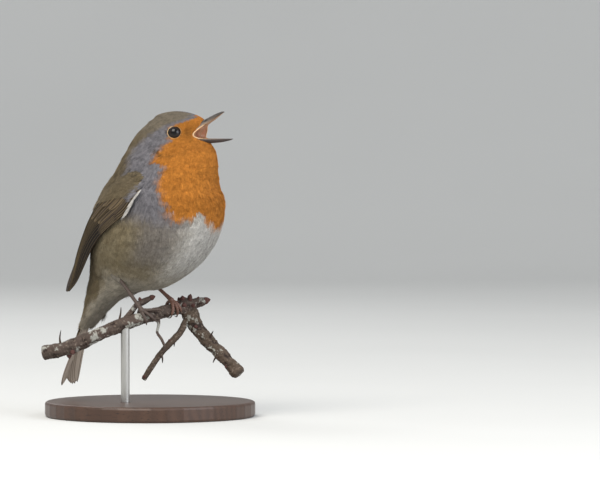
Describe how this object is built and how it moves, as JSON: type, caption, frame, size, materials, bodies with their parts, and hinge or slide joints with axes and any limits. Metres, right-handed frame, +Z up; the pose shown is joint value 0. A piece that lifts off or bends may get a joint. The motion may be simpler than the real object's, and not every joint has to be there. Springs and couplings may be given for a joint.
{
  "type": "european robin",
  "caption": "Life-size still model of a singing European robin that grips a cut length of thorn branch, held over a round wooden base by a steel rod.",
  "frame": {"origin": "middle of the underside of the stand's base", "axes": "+X is the way the bird's body faces, its right side is at -Y, +Z is up"},
  "size_m": [0.096, 0.096, 0.1396],
  "materials": {
    "plumage": "soft contour feathers: olive-brown above, orange face and breast, blue-grey border, white belly, buff flanks",
    "flight_feathers": "stiffer dark brown quills with paler edges, slightly glossy",
    "horn": "dark brown horn, satin, paler at the cutting edges",
    "mouth_flesh": "moist orange-pink flesh",
    "leg_skin": "thin brown scaled skin, satin",
    "eye": "black-brown, polished",
    "bark": "grey-brown thorn bark with pale lichen, rough",
    "base_wood": "dark stained wood, satin varnish",
    "rod_steel": "brushed steel"
  },
  "bodies": {
    "root": {"head": "plumage", "neck": "plumage", "trunk": "plumage", "tail": "flight_feathers", "wing_left": "flight_feathers", "wing_right": "flight_feathers", "bill_lower": "horn", "bill_upper": "horn", "claw_hind_left": "horn", "claw_hind_right": "horn", "claw_inner_left": "horn", "claw_inner_right": "horn", "claw_middle_left": "horn", "claw_middle_right": "horn", "claw_outer_left": "horn", "claw_outer_right": "horn", "tongue": "mouth_flesh", "foot_left": "leg_skin", "foot_right": "leg_skin", "leg_left": "leg_skin", "leg_right": "leg_skin", "eye_left": "eye", "eye_right": "eye", "perch_fork": "bark", "perch_stem": "bark", "perch_twig": "bark", "stand_base": "base_wood", "stand_rod": "rod_steel"}
  },
  "joints": []
}
